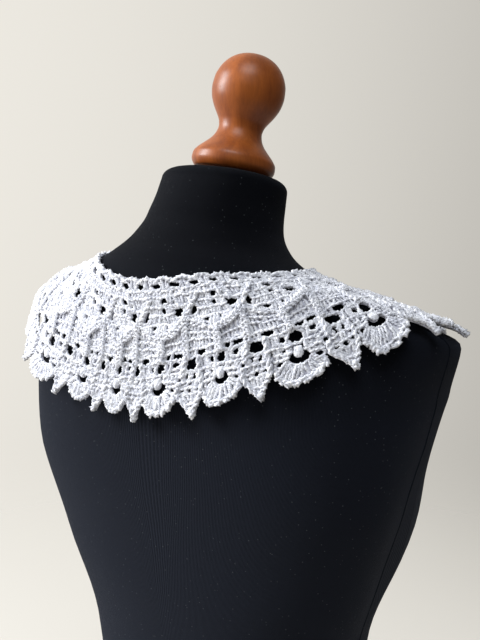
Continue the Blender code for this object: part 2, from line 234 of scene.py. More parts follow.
# Where the sleeve's side seam runs on the wearer's right, as its twin does on the
# left: section number, turn_deg
SIDE_SEAM = (
    (0.1, 179.0),
    (4.0, 180.0),
    (5.0, 182.5),
    (6.0, 181.5),
    (7.0, 179.5),
    (7.8, 177.0),
    (8.6, 174.0),
    (9.3, 172.0),
    (10.6, 171.0),
)
turns = circle_of(AROUND) + np.pi / AROUND
foot = form_point(np.zeros(AROUND), turns)
foot_middle = np.array([0, SECTION[0, 1], 0])
foot_out = unit(foot - foot_middle)
rings = []
for turn in np.radians((0, 30, 60)):
    rise = np.array([0, 0, RIM_ROLL * (1 - np.cos(turn))])
    rings.append(foot - foot_out * RIM_ROLL * (1 - np.sin(turn)) + rise)
for level in np.concatenate([np.linspace(0.14, 5, 32)[:-1], np.linspace(5, LAST, 62)]):
    rings.append(form_point(np.full(AROUND, level), turns))
height, middle, lean, _, back, front, _ = SECTION[LAST]
lean = math.radians(lean)
neck_up = np.array([0, -math.sin(lean), math.cos(lean)])
fore_aft = np.array([0, math.cos(lean), math.sin(lean)])
neck_centre = np.array([0, middle, height]) + fore_aft * (back - front) / 2
neck_centre = neck_centre + neck_up * NECK_ROLL_UP
rim = rings[-1]
rim_out = unit(rim - (neck_centre - neck_up * NECK_ROLL_UP))
for turn in np.radians((12, 25, 38, 50, 62, 74, 90)):
    inset = rim_out * NECK_ROLL_IN * (1 - np.cos(turn))
    rings.append(rim - inset + neck_up * NECK_ROLL_UP * np.sin(turn))
for share in (0.97, 0.5):
    rings.append(neck_centre + (rings[-1] - neck_centre) * share)
torso_rings = np.array(rings)


def tube_grid(rings):
    """Points, faces and cloth measure of closed rings stacked as rows, with flat ends.
    The seam is doubled so that the measure across and up runs on without a jump."""
    rows, around = rings.shape[:2]
    full = np.concatenate([rings, rings[:, :1]], axis=1)
    up = run_along(full.mean(axis=1))
    u = np.tile(np.linspace(0, 1, around + 1), rows)
    uv = np.stack([u, np.repeat(up, around + 1)], -1)
    i, j = np.meshgrid(np.arange(rows - 1), np.arange(around), indexing="ij")
    a = i * (around + 1) + j
    quads = np.stack([a, a + 1, a + around + 2, a + around + 1], -1).reshape(-1, 4)
    bottom = np.arange(around)[None, ::-1]
    top = (rows - 1) * (around + 1) + np.arange(around)[None, :]
    return full.reshape(-1, 3), [quads, bottom, top], uv


torso_verts, torso_faces, torso_uv = tube_grid(torso_rings)
seam_level = np.linspace(SIDE_SEAM[0][0], SIDE_SEAM[-1][0], 150)
seam_turn = np.radians(smooth(*zip(*SIDE_SEAM), seam_level))
ridge = circle_of(SEAM_ROUND)[:, None]
for seam in (form_point(seam_level, seam_turn), form_point(seam_level, np.pi - seam_turn)):
    way = np.gradient(seam, axis=0)
    across = unit(np.cross(way, [1.0, 0.0, 0.0]))
    off = unit(np.cross(across, way))
    spokes = np.cos(ridge) * across[:, None] + np.sin(ridge) * off[:, None]
    seam_verts, seam_faces, seam_uv = tube_grid(seam[:, None] + SEAM_THICK * spokes)
    torso_faces += [faces + len(torso_verts) for faces in seam_faces]
    torso_verts = np.concatenate([torso_verts, seam_verts])
    torso_uv = np.concatenate([torso_uv, seam_uv])
torso = mesh_piece("torso_jersey", torso_verts + STAND, torso_faces, jersey_material(),
                   torso_uv)
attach(torso, "root")
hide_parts("form_torso")

# ---------------- neck knob
# Turned from one piece of hardwood, stained reddish brown and varnished, and
# screwed down through its round flange into the form's neck.

KNOB_FORWARD = 0.0035  # the knob stands a little forward of the neck's middle
KNOB_ASIDE = 0.0030  # and a little towards the wearer's right
KNOB_TILT = 4.6  # degrees it leans towards the wearer's right
KNOB_BOSS = 0.012  # radius of the boss, which lifts as the knob leans
KNOB_GAP = 0.0003  # between the boss and the neck
# Turned profile up its own axis, from the screw boss under the flange: height, radius
KNOB_PROFILE = (
    (0.0000, 0.0120),
    (0.0022, 0.0125),
    (0.0026, 0.0278),
    (0.0045, 0.0305),
    (0.0085, 0.0322),
    (0.0125, 0.0319),
    (0.0165, 0.0294),
    (0.0210, 0.0250),
    (0.0260, 0.0204),
    (0.0310, 0.0177),
    (0.0355, 0.0168),
    (0.0400, 0.0176),
    (0.0450, 0.0203),
    (0.0510, 0.0240),
    (0.0580, 0.0269),
    (0.0650, 0.0280),
    (0.0720, 0.0275),
    (0.0790, 0.0252),
    (0.0850, 0.0214),
    (0.0895, 0.0165),
    (0.0925, 0.0105),
    (0.0937, 0.0050),
)


def wood_material():
    """Stained hardwood: fine long grain curving round the turned shape, satin varnish."""
    mat, tree, shader = new_material("stained_hardwood", 0.40, specular=0.30)
    long_way = node(tree, "Mapping", {"Vector": node(tree, "TexCoord", {}, "Object"),
                    "Rotation": (math.radians(14), math.radians(10), 0.0),
                    "Scale": (1.0, 1.0, 0.10)})
    grain = node(tree, "TexNoise", {"Vector": long_way, "Scale": 620.0, "Detail": 3.0,
                 "Roughness": 0.55}, "Fac")
    figure = node(tree, "TexNoise", {"Vector": long_way, "Scale": 60.0, "Detail": 1.0,
                  "Distortion": 0.8}, "Fac")
    fine_grain = node(tree, "Math", {0: grain, 1: 0.55}, operation="MULTIPLY")
    mixed = node(tree, "Math", {0: figure, 1: 0.9, 2: fine_grain}, operation="MULTIPLY_ADD")
    tone = tone_ramp(tree, mixed, (0.46, (0.205, 0.046, 0.008)),
                     (0.98, (0.400, 0.106, 0.018)))
    set_inputs(tree, shader, {"Coat Weight": 0.12, "Coat Roughness": 0.30})
    finish_surface(tree, shader, tone, grain, 0.06, 0.0004)
    return mat


KNOB_AROUND = 96  # points round the knob
heights, radii = zip(*KNOB_PROFILE)
fine = np.concatenate([[0, 1, 2], np.linspace(2.1, len(KNOB_PROFILE) - 1, 68)])
fine_height = smooth(range(len(heights)), heights, fine)
fine_radius = smooth(range(len(radii)), radii, fine)
tilt = math.radians(KNOB_TILT)
knob_up = neck_up * math.cos(tilt) - np.array([math.sin(tilt), 0, 0])
side_way = np.array([math.cos(tilt), 0, 0]) + neck_up * math.sin(tilt)
fore_way = np.cross(knob_up, side_way)
neck_back = np.cross(neck_up, np.array([1.0, 0, 0]))
knob_foot = neck_centre + neck_up * (KNOB_GAP + KNOB_BOSS * math.sin(tilt))
knob_foot = knob_foot - neck_back * KNOB_FORWARD - np.array([KNOB_ASIDE, 0, 0])
spin = circle_of(KNOB_AROUND)[:, None]
spokes = np.cos(spin) * side_way + np.sin(spin) * fore_way
knob_rings = knob_foot + knob_up * fine_height[:, None, None]
knob_rings = knob_rings + spokes * fine_radius[:, None, None]
knob_verts, knob_faces, knob_uv = tube_grid(knob_rings)
knob = mesh_piece("knob_wood", knob_verts + STAND, knob_faces, wood_material(), knob_uv)
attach(knob, "root")
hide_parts("neck_knob")

# ---------------- neckband
# The collar is crocheted in one from fine white cotton. It starts at the neckband:
# small scallops of tall stitches with an eyelet between each two, on a firm chain.

REPEATS = 15  # leaf points round the hem, each with a fan beside it
REPEAT_AT_NECK = 0.031  # length of one repeat along the neck edge
CENTRE_COLUMN = 7  # the leaf nearest the middle of the back
CENTRE_OFFSET = 0.009  # and how far along the neck edge it lies from the middle
FIRST_EDGE = -0.75  # front edge on the wearer's right, in repeats
LAST_EDGE = 14.25  # front edge on the wearer's left
AXIS_Y = 0.012  # the upright axis the angles turn about
LEAN = 3.0  # degrees the columns bow towards the wearer's right
CLEAR = 0.0009  # gap between form and lace at the neck edge
LIFT_AT_HEM = 0.0055  # how far the hem stands off the form
FAN_LIFT = 0.0014  # the fans lift a little more than the leaves

# Height of the neck edge round the neck: angle_deg, height
NECK_EDGE = (
    (-180, 0.6290),
    (-140, 0.6450),
    (-90, 0.6570),
    (-58, 0.6606),
    (-34, 0.6617),
    (-12, 0.6585),
    (12, 0.6552),
    (33, 0.6580),
    (52, 0.6625),
    (90, 0.6610),
    (140, 0.6460),
    (180, 0.6290),
)

# Where each leaf point reaches at the hem: column, hem_angle_deg, depth
HEM = (
    (-0.75, -174.0, 0.099),
    (0, -154.5, 0.100),
    (1, -131.0, 0.108),
    (2, -106.4, 0.118),
    (3, -89.9, 0.1003),
    (4, -71.2, 0.0900),
    (5, -50.0, 0.0902),
    (6, -27.5, 0.0953),
    (7, 4.5, 0.0990),
    (8, 28.0, 0.0998),
    (9, 48.0, 0.1052),
    (10, 70.0, 0.1160),
    (11, 92.0, 0.108),
    (12, 114.0, 0.103),
    (13, 137.0, 0.100),
    (14, 159.0, 0.099),
    (14.25, 164.0, 0.099),
)

# Soft folds that grow towards the hem: column, half_width, height
FOLDS = (
    (0.6, 0.8, 0.0030),
    (3.4, 0.7, 0.0026),
    (5.6, 0.6, 0.0016),
    (10.0, 0.9, 0.0050),
    (12.4, 0.8, 0.0026),
)

# How each repeat hangs out of true, in repeats and in shares of the depth:
# column, aside_at_0.3, aside_at_0.6, aside_at_0.8, lower_at_the_middle
HANG = (
    (-1.0, 0.00, 0.00, 0.00, 0.00),
    (1.0, 0.02, 0.05, 0.04, 0.01),
    (3.0, -0.04, -0.10, -0.12, 0.00),
    (3.5, -0.05, -0.16, -0.20, 0.00),
    (4.0, -0.04, -0.12, -0.12, 0.00),
    (5.0, -0.04, -0.11, -0.12, 0.00),
    (6.0, -0.05, -0.12, -0.13, 0.00),
    (7.0, -0.02, -0.06, -0.07, 0.022),
    (8.0, 0.03, 0.07, 0.05, 0.045),
    (9.0, 0.05, 0.10, 0.08, 0.048),
    (10.5, 0.05, 0.08, 0.05, 0.035),
    (12.5, -0.03, -0.05, -0.04, 0.00),
    (15.0, 0.00, 0.00, 0.00, 0.00),
)

TURNS = circle_of(720)
LEVELS = np.linspace(5.5, 14.5, 361)  # section numbers that the collar lies between
NECK_LEVELS = np.linspace(10.0, 14.4, 111)  # and those that its neck edge lies between
LOWEST = 5.6  # each line is drawn down to this section number, past the hem


def angle_table():
    """For each level of the form, the turn that lies at each angle about the neck."""
    k, t = np.meshgrid(LEVELS, TURNS, indexing="ij")
    p = form_point(k, t)
    angle = np.arctan2(p[..., 0], p[..., 1] - AXIS_Y)
    want = np.radians(np.linspace(-180, 180, 361))
    table = np.zeros((len(LEVELS), len(want)))
    for i in range(len(LEVELS)):
        order = np.argsort(angle[i])
        a = angle[i][order]
        turn = np.unwrap(TURNS[order])
        a = np.concatenate([a[-3:] - 2 * np.pi, a, a[:3] + 2 * np.pi])
        turn = np.concatenate([turn[-3:] + 2 * np.pi, turn, turn[:3] - 2 * np.pi])
        table[i] = np.interp(want, a, turn)
    return table


TURN_AT = angle_table()


def between(table, row, col):
    """Value of a table at row and column numbers that may lie between its own."""
    row = np.clip(row, 0, table.shape[0] - 1.001)
    col = np.clip(col, 0, table.shape[1] - 1.001)
    i = row.astype(int)
    j = col.astype(int)
    u = row - i
    w = col - j
    if table.ndim == 3:
        u = u[..., None]
        w = w[..., None]
    return ((1 - u) * (1 - w) * table[i, j] + (1 - u) * w * table[i, j + 1]
            + u * (1 - w) * table[i + 1, j] + u * w * table[i + 1, j + 1])


def form_at(k, angle_deg):
    """Point on the form at level k and at an angle about the neck."""
    row = (k - LEVELS[0]) / (LEVELS[1] - LEVELS[0])
    return form_point(k, between(TURN_AT, row, angle_deg + 180))


def neck_level(angle_deg):
    """Level of the form at the height of the neck edge, for each angle."""
    deg, height = zip(*NECK_EDGE)
    want = smooth(deg, height, angle_deg)
    k, a = np.meshgrid(NECK_LEVELS, angle_deg, indexing="ij")
    z = form_at(k, a)[..., 2]
    return np.array([np.interp(want[i], z[:, i], NECK_LEVELS) for i in range(len(want))])


def neck_angles(columns):
    """Angle of each column where it starts, evenly spaced along the neck edge."""
    deg = np.linspace(-179.5, 179.5, 360)
    run = run_along(form_at(neck_level(deg), deg))
    run = run - np.interp(0, deg, run)
    at = CENTRE_OFFSET + REPEAT_AT_NECK * (columns - CENTRE_COLUMN)
    return np.interp(at, run, deg)


def lace_lines(columns):
    """Each column's line down the form from neck edge to hem."""
    number, hem_deg, depth = zip(*HEM)
    start = neck_angles(columns)
    end = smooth(number, hem_deg, columns)
    reach = smooth(number, depth, columns)
    top = neck_level(start)
    share = np.linspace(0, 1, 160)[:, None]
    k = top - (top - LOWEST) * share
    v = share * np.ones_like(k) * 2.0
    for _ in range(6):
        w = np.clip(v, 0, 1)
        angle = start + (end - start) * (1 - (1 - w) ** 2) - LEAN * np.sin(np.pi * w)
        p = form_at(k, angle)
        step = np.linalg.norm(np.diff(p, axis=0), axis=2)
        run = np.concatenate([np.zeros((1, len(columns))), np.cumsum(step, axis=0)])
        v = run / reach
    return v, k, angle


def outward(k, angle):
    """Direction straight out from the form."""
    up = form_at(k + 0.02, angle) - form_at(k - 0.02, angle)
    left = form_at(k, np.clip(angle - 0.5, -180, 180))
    right = form_at(k, np.clip(angle + 0.5, -180, 180))
    n = unit(np.cross(up, right - left))
    mid = form_at(k, angle) - np.array([0, 0, 0.5])
    return n * np.sign((n * mid).sum(-1))[..., None]


# The hang of the collar, worked out once on a fine net.
NET_LINES = 24  # lines of the net to a repeat
NET_COLUMNS = np.linspace(FIRST_EDGE, LAST_EDGE, NET_LINES * REPEATS + 1)
NET_ROWS = np.linspace(0, 1.02, 86)
net_v, net_k, net_angle = lace_lines(NET_COLUMNS)
level, bearing = (np.stack([np.interp(NET_ROWS, net_v[:, i], lines[:, i])
                            for i in range(len(NET_COLUMNS))])
                  for lines in (net_k, net_angle))
NET_OUT = outward(level, bearing)
place = NET_COLUMNS[:, None] % 1.0
lift = CLEAR + LIFT_AT_HEM * NET_ROWS ** 1.6
lift = lift + FAN_LIFT * NET_ROWS ** 2 * (1 - np.cos(2 * np.pi * place)) / 2
for column, half, height in FOLDS:
    fold = height * np.exp(-((NET_COLUMNS[:, None] - column) / half) ** 2)
    lift = lift + fold * NET_ROWS ** 2
NET = form_at(level, bearing) + NET_OUT * lift[..., None] + STAND
NET_WIDE = np.linalg.norm(np.gradient(NET, NET_COLUMNS, axis=0), axis=-1)
NET_DEEP = np.linalg.norm(np.gradient(NET, NET_ROWS, axis=1), axis=-1)


def read_net(table, c, v):
    """Value of a net table at columns c and depths v, between its lines."""
    return between(table, (c - FIRST_EDGE) * NET_LINES, v / NET_ROWS[1])


def hang_out_of_true(c, v):
    """Moves a place in the pattern to where that repeat really hangs, with the small
    uneven shifts of handwork."""
    column, at3, at6, at8, low = np.array(HANG).T
    a3 = np.interp(c, column, at3)
    a6 = np.interp(c, column, at6)
    a8 = np.interp(c, column, at8)
    w = np.clip(v, 0, 1)
    aside = np.where(w < 0.3, a3 * w / 0.3, a3 + (a6 - a3) * (w - 0.3) / 0.3)
    aside = np.where(w > 0.6, a6 + (a8 - a6) * (w - 0.6) / 0.2, aside)
    fan = (1 - np.cos(2 * np.pi * c)) / 2
    aside = np.where(w > 0.8, a8 * (fan + (1 - fan) * (1 - w) / 0.2), aside)
    lower = np.interp(c, column, low) * np.sin(np.pi * w)
    dc = 0.012 * np.sin(5.1 * c + 9 * v) + 0.010 * np.sin(11.3 * c - 14 * v + 1.0)
    dv = 0.0035 * np.sin(7.7 * c + 5 * v + 2.0) + 0.003 * np.sin(17.9 * c + 21 * v)
    fade = np.clip(np.minimum(c - FIRST_EDGE, LAST_EDGE - c) * 6, 0, 1)
    edges = np.clip(v * 8, 0, 1) * np.clip((1.02 - v) * 10, 0, 1)
    return c + (dc - aside) * fade, v + (lower + dv) * edges


def on_lace(c, v, h):
    """Point at height h over the inner face, and the outward direction there."""
    c, v = hang_out_of_true(c, v)
    out = read_net(NET_OUT, c, v)
    return read_net(NET, c, v) + out * h[..., None], out


def along_sides(centre, out):
    """Directions beside and above each point of rows of points."""
    way = unit(np.gradient(centre, axis=1))
    side = unit(np.cross(way, out))
    return side, np.cross(side, way)


def tubes(centre, out, radius, sides=5):
    """Closed round tubes along rows of points. centre is (tubes, points, 3)."""
    side, up = along_sides(centre, out)
    turn = circle_of(sides)[:, None]
    ring = side[..., None, :] * np.cos(turn) + up[..., None, :] * np.sin(turn)
    radius = np.broadcast_to(radius, centre.shape[:2])
    verts = centre[..., None, :] + ring * radius[..., None, None]
    count, length = centre.shape[:2]
    base = np.arange(count)[:, None, None] * length + np.arange(length - 1)[None, :, None]
    base = base * sides
    j = np.arange(sides)[None, None, :]
    n = (np.arange(sides) + 1) % sides
    quads = np.stack([base + j, base + n, base + sides + n, base + sides + j], -1)
    first = np.arange(count)[:, None] * length * sides
    start = first + np.arange(sides)[::-1]
    end = first + (length - 1) * sides + np.arange(sides)
    return verts.reshape(-1, 3), quads.reshape(-1, 4), np.concatenate([start, end])


def two_ply(centre, out, radius, apart, turns, sides=5):
    """Two plies of yarn wound round a centre line; turns is the twist at each point."""
    side, up = along_sides(centre, out)
    plies = []
    for half in (0.0, 0.5):
        angle = 2 * np.pi * (turns + half)
        shift = side * np.cos(angle)[..., None] + up * np.sin(angle)[..., None]
        plies.append(tubes(centre + shift * apart, out, radius, sides))
    return plies


def spread_out(x, y, gap):
    """Points every gap or so along a line across and down."""
    steps = np.hypot(np.diff(x) * REPEAT_SHARE, np.diff(y))
    run = np.concatenate([[0], np.cumsum(steps)])
    at = np.linspace(0, run[-1], max(2, int(run[-1] / gap) + 1))
    return np.interp(at, run, x), np.interp(at, run, y)


PLY = 0.00080  # radius of one ply of the yarn
PLY_APART = 0.00070  # how far each ply winds from the middle of the yarn
STITCH_STEP = 0.0011  # between the points of a stitch
STITCH_LOW = 0.0013  # middle of a stitch over the inner face
STITCH_TWIST = 3.8  # mm of a stitch to one turn of its plies
HEAD_THICK = 0.00092  # radius of the looped head at a stitch's foot
CORD_STEP = 0.0012  # between the points of a cord
CORD_LOW = 0.0014  # middle of a cord over the inner face
CORD_PITCH = 0.0036  # length of a cord to one turn of its plies
PLAIT = 0.0095  # length in which a plaited cord's strands come round again
WAVER = 0.00045  # a cord's strand strays this far aside
WAVER_STEP = 0.00074  # and turns back after about three times this
REPEAT_SHARE = 0.45  # a repeat's width as a share of the depth, near enough
DEPTH_MM = 100  # the depth in mm, near enough for laying out openings
worked = []  # places covered by stitches, for the ground under them
rng = np.random.default_rng(7)

SCALLOPS = 35  # small scallops along the neck edge
scallop = REPEATS / SCALLOPS

# Openings in each repeat. Across is in repeats from the leaf's own line, with the
# fan's line at 0.5, and down is in shares of the depth: across, down, half_width_mm,
# half_height_mm, tilt_deg
OPENINGS = (
    (0.58, 0.156, 3.0, 2.2, 0),
    (0.13, 0.148, 1.2, 1.1, 0),
    (0.78, 0.182, 1.1, 1.1, 0),
    (0.54, 0.226, 2.2, 2.0, 0),
    (0.83, 0.252, 3.7, 3.1, -12),
    (0.145, 0.262, 3.8, 1.7, 112),
    (0.85, 0.308, 2.8, 0.8, -10),
    (0.33, 0.336, 2.4, 1.6, 0),
    (0.58, 0.342, 1.4, 1.3, 0),
    (0.985, 0.360, 0.9, 1.1, 0),
    (0.17, 0.551, 3.8, 2.6, 0),
    (0.60, 0.547, 2.8, 2.3, 0),
    (0.78, 0.547, 3.8, 2.7, 0),
    (0.00, 0.617, 4.4, 4.3, 0),
    (0.34, 0.622, 1.8, 2.2, 0),
    (0.50, 0.627, 3.2, 3.5, 0),
    (0.74, 0.612, 2.3, 2.0, 0),
    (0.82, 0.722, 1.5, 1.5, 0),
    (0.325, 0.709, 1.5, 1.4, 0),
    (-0.055, 0.705, 1.7, 2.2, 0),
    (0.050, 0.707, 1.7, 2.2, 0),
    (-0.095, 0.798, 1.9, 1.8, 0),
    (0.025, 0.806, 2.0, 2.0, 0),
    (0.130, 0.799, 1.7, 1.6, 0),
    (0.285, 0.785, 1.9, 1.4, -25),
    (0.725, 0.790, 1.9, 1.4, 25),
)
WEAR = 1.14  # wear has pulled the openings this much larger
RIM_OUT = 0.85  # mm from an opening's edge to the middle of the cord round it
EYELET = (0.056, 3.4, 2.2)  # between scallops: down, half_width_mm, half_height_mm
EYELET_RIM = 1.35  # its cord runs at this share of its size
EYELET_REPEAT = 32  # width of a repeat at the eyelets, in mm


def repeat_width(v):
    """Width of one repeat in mm at each depth, near enough for laying out openings."""
    return 31 + 27 * v


def opening_at(c, v):
    """Under 1 inside an opening, 1 on its edge, over 1 outside it."""
    wide = repeat_width(v)
    across = (-c) % 1.0
    near = np.full(np.shape(c), 9.0)
    for x, y, half_w, half_h, tilt in OPENINGS:
        turn = math.radians(tilt)
        for shift in (-1, 0, 1):
            dx = (across - x - shift) * wide
            dy = (v - y) * DEPTH_MM
            along = dx * math.cos(turn) + dy * math.sin(turn)
            beside = dy * math.cos(turn) - dx * math.sin(turn)
            near = np.minimum(near, np.hypot(along / half_w, beside / half_h) / WEAR)
    gap = ((c - FIRST_EDGE) / scallop + 0.5) % 1.0 - 0.5
    down, half_w, half_h = EYELET
    eyelet = np.hypot(gap * scallop * wide / half_w, (v - down) * DEPTH_MM / half_h)
    return np.minimum(near, eyelet)


def cover(c, v):
    """Notes a place that stitches cover."""
    worked.append(np.stack([c, v], -1))


def stitches(ends):
    """Tall stitches. ends has rows: column and depth of the top, column and depth of
    the foot, rise in mm. Each is two twisted plies with a looped head at its foot."""
    ends = np.asarray(ends, float)
    middle = (ends[:, 0] + ends[:, 2]) / 2
    ends = ends[(middle > FIRST_EDGE) & (middle < LAST_EDGE)]
    clear = np.ones(len(ends), bool)
    for share in (0.15, 0.4, 0.6, 0.85):
        at = ends[:, :2] * (1 - share) + ends[:, 2:4] * share
        clear &= opening_at(at[:, 0], at[:, 1]) > 1.0
    ends = ends[clear]
    long_mm = np.hypot((ends[:, 2] - ends[:, 0]) * repeat_width(ends[:, 1]),
                       (ends[:, 3] - ends[:, 1]) * DEPTH_MM)
    points = np.clip(np.rint(long_mm * 0.001 / STITCH_STEP), 4, 9).astype(int)
    parts = []
    for number in np.unique(points):
        group = ends[points == number]
        c0, v0, c1, v1, rise = (group[:, k][:, None] for k in range(5))
        count = len(group)
        s = np.linspace(0, 1, number)[None, :]
        slip = rng.normal(0, 0.011, (count, 2))
        c = c0 + (c1 - c0) * s + slip[:, :1] * (1 - s) + slip[:, 1:] * s
        c = c + rng.normal(0, 0.004, (count, number))
        v = v0 + (v1 - v0) * s
        h = STITCH_LOW + rise * 0.001 * np.sin(np.pi * (0.15 + 0.6 * s))
        h = h + 0.0003 * np.sin(np.pi * s)
        h = h + rng.normal(0, 0.0003, (count, 1)) + rng.normal(0, 0.00016, (count, number))
        centre, out = on_lace(c, v, h)
        turns = s * long_mm[points == number][:, None] / STITCH_TWIST
        turns = turns * rng.uniform(0.8, 1.2, (count, 1))
        thick = PLY * rng.uniform(0.9, 1.15, (count, 1))
        thick = thick * rng.uniform(0.82, 1.2, (count, number))
        turns = turns + rng.uniform(0, 1, (count, 1))
        parts += two_ply(centre, out, thick, PLY_APART, turns, 4)
    c1, v1, rise = (ends[:, k][:, None] for k in (2, 3, 4))
    count = len(ends)
    s = np.linspace(-1, 1, 5)[None, :]
    half = rng.uniform(1.3, 1.9, (count, 1)) / repeat_width(v1)
    c = c1 + half * s
    v = v1 + rng.normal(0, 0.003, (count, 1)) + 0.013 * (1 - s * s)
    h = 0.0012 + rise * 0.0006 + 0.0014 * (1 - s * s) + rng.normal(0, 0.00025, (count, 1))
    centre, out = on_lace(c, v, h)
    parts.append(tubes(centre, out, HEAD_THICK * (1 - 0.25 * s * s)))
    return parts


def cord(c, v, rise, thick, strands=1, through=False):
    """Crocheted cord along a line: one strand, two twisted together or three plaited.
    It stops at openings unless it is let through."""
    ok = (c > FIRST_EDGE - 0.03) & (c < LAST_EDGE + 0.03)
    if not through:
        ok &= opening_at(c, v) > 0.95
    parts = []
    for run_of in np.split(np.arange(len(c)), np.flatnonzero(np.diff(ok.astype(int))) + 1):
        if ok[run_of[0]] and len(run_of) > 3:
            parts += one_cord(c[run_of], v[run_of], rise, thick, strands)
    return parts


def one_cord(c, v, rise, thick, strands):
    """One unbroken length of cord; rise and thick are in mm."""
    c = np.clip(c, FIRST_EDGE + 0.004, LAST_EDGE - 0.004)
    cover(*spread_out(c, v, 0.005))
    line, out = on_lace(c, v, np.full(len(c), CORD_LOW + rise * 0.001))
    run = run_along(line)
    at = np.linspace(0, run[-1], max(4, int(run[-1] / CORD_STEP) + 1))
    centre, way_out = (np.stack([np.interp(at, run, table[:, k]) for k in range(3)], -1)[None]
                       for table in (line, out))
    side, up = along_sides(centre, way_out)
    parts = []
    radius = thick * 0.001
    start = rng.uniform(0, 6)
    for n in range(strands):
        lap = 2 * np.pi * (at[None, :, None] / PLAIT + n / strands) + start
        beside = radius * 1.25 * (strands - 1) * np.sin(lap)
        over = radius * (np.sin(2 * lap) if strands == 3 else np.cos(lap))
        if strands == 1:
            over = radius * 0.75 * np.sin(lap * 2.2)
        wave = WAVER * np.sin(at[None, :, None] / WAVER_STEP + rng.uniform(0, 6))
        knots = radius * rng.uniform(0.74, 1.28, (1, len(at)))
        strand = centre + side * (beside + wave) + up * over
        parts += two_ply(strand, way_out, knots, radius * 0.85,
                         at[None] / CORD_PITCH + rng.uniform(), 4)
    return parts


def rims(first, last, thick=0.70):
    """A cord round each opening that lies between two depths."""
    parts = []
    turn = np.linspace(0, 2 * np.pi, 25)
    for x, y, half_w, half_h, tilt in OPENINGS:
        if not first <= y < last:
            continue
        lean = math.radians(tilt)
        for leaf in range(REPEATS):
            grow = 1 + 0.10 * np.sin(2 * turn + rng.uniform(0, 6))
            grow = grow + 0.08 * np.sin(3 * turn + rng.uniform(0, 6))
            along = (half_w * WEAR * grow + RIM_OUT) * np.cos(turn)
            beside = (half_h * WEAR * grow + RIM_OUT) * np.sin(turn)
            dx = along * math.cos(lean) - beside * math.sin(lean)
            dy = along * math.sin(lean) + beside * math.cos(lean)
            c = leaf - x - dx / repeat_width(y)
            if c.min() > FIRST_EDGE and c.max() < LAST_EDGE:
                parts += cord(c, y + dy / DEPTH_MM, 0.35, thick, 1, True)
    return parts


def blocks_of_stitches(table):
    """Stitches of every block in a chart, in each repeat, and the ground they cover."""
    ends = []
    for x0, x1, top, x2, x3, foot, count, rise in table:
        y0, y1 = np.broadcast_to(top, 2)
        y2, y3 = np.broadcast_to(foot, 2)
        s, t = np.meshgrid(np.linspace(0, 1, 3 * count), np.linspace(0, 1, 12))
        x = (x0 + (x1 - x0) * s) * (1 - t) + (x2 + (x3 - x2) * s) * t
        y = (y0 + (y1 - y0) * s) * (1 - t) + (y2 + (y3 - y2) * s) * t
        for leaf in range(REPEATS):
            cover(leaf - x.ravel(), y.ravel())
            for s in np.linspace(0, 1, count):
                ends.append((leaf - x0 - (x1 - x0) * s, y0 + (y1 - y0) * s,
                             leaf - x2 - (x3 - x2) * s, y2 + (y3 - y2) * s, rise))
    return stitches(ends)


def cords_of(table):
    """Every cord in a chart, in each repeat."""
    parts = []
    for rise, thick, strands, *points in table:
        line = spread_out(*zip(*points), 0.004)
        padded = [np.pad(way, 2, mode="reflect", reflect_type="odd") for way in line]
        x, y = (np.convolve(way, np.ones(5) / 5, "valid") for way in padded)
        for leaf in range(REPEATS):
            parts += cord(leaf - x, y, rise, thick, strands)
    return parts


def cotton_material(name, colour, shade, rough):
    """Fine mercerised cotton, white with a cool cast, fibres at its surface."""
    mat, tree, shader = new_material(name, rough, sheen=0.3, specular=0.3)
    set_inputs(tree, shader, {"Sheen Roughness": 0.45})
    place = node(tree, "TexCoord", {}, "Object")
    broad = node(tree, "TexNoise", {"Vector": place, "Scale": 160.0, "Detail": 3.0}, "Fac")
    tone = tone_ramp(tree, broad, (0.35, shade), (0.60, colour))
    fibres = node(tree, "TexNoise", {"Vector": place, "Scale": 2200.0, "Detail": 2.0}, "Fac")
    finish_surface(tree, shader, tone, fibres, 0.5, 0.0003)
    return mat


YARN = cotton_material("white_cotton_yarn", (0.90, 0.905, 0.955), (0.72, 0.73, 0.80), 0.85)


def yarn_piece(name, parts, *nodes):
    """Joins worked parts into one piece that stands for the named solids."""
    verts = []
    faces = {}
    base = 0
    for v, quads, caps in parts:
        verts.append(v)
        for group in (quads, caps):
            faces.setdefault(group.shape[1], []).append(group + base)
        base += len(v)
    faces = [np.concatenate(group) for group in faces.values()]
    piece = mesh_piece(name, np.concatenate(verts), faces, YARN)
    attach(piece, "root")
    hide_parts(*nodes)


def charted_piece(name, rows, cords, openings, *nodes):
    """One piece worked from its chart: blocks of stitches, then cords, then a rim round
    each opening in the given bands of depth: first, last, thickness."""
    parts = blocks_of_stitches(rows) + cords_of(cords)
    for band in openings:
        parts += rims(*band)
    yarn_piece(name, parts, *nodes)


# Each scallop: four tall stitches, its raised top edge, and a rim round the eyelet
# between it and the next.
parts = []
ends = []
s9 = np.linspace(-1, 1, 9)
for i in range(SCALLOPS):
    middle = FIRST_EDGE + (i + 0.5) * scallop
    for s in (-1, -0.33, 0.33, 1):
        ends.append((middle + 0.36 * scallop * s, 0.010 + 0.012 * s * s,
                     middle + 0.27 * scallop * s, 0.082, 0.0))
        c, v = spread_out([middle + 0.36 * scallop * s, middle + 0.25 * scallop * s],
                          [0.010, 0.082], 0.005)
        for nudge in (-0.03, 0.0, 0.03):
            cover(c + nudge, v)
    parts += cord(middle + 0.5 * scallop * s9, 0.002 + 0.029 * s9 ** 2, 0.5, 0.98)
    c = middle + 0.5 * scallop + EYELET_RIM * EYELET[1] / EYELET_REPEAT * np.sin(np.pi * s9)
    v = EYELET[0] - EYELET_RIM * EYELET[2] / DEPTH_MM * np.cos(np.pi * s9)
    if c.max() < LAST_EDGE:
        parts += cord(c, v, 0.3, 0.66, 1, True)
parts += stitches(ends)
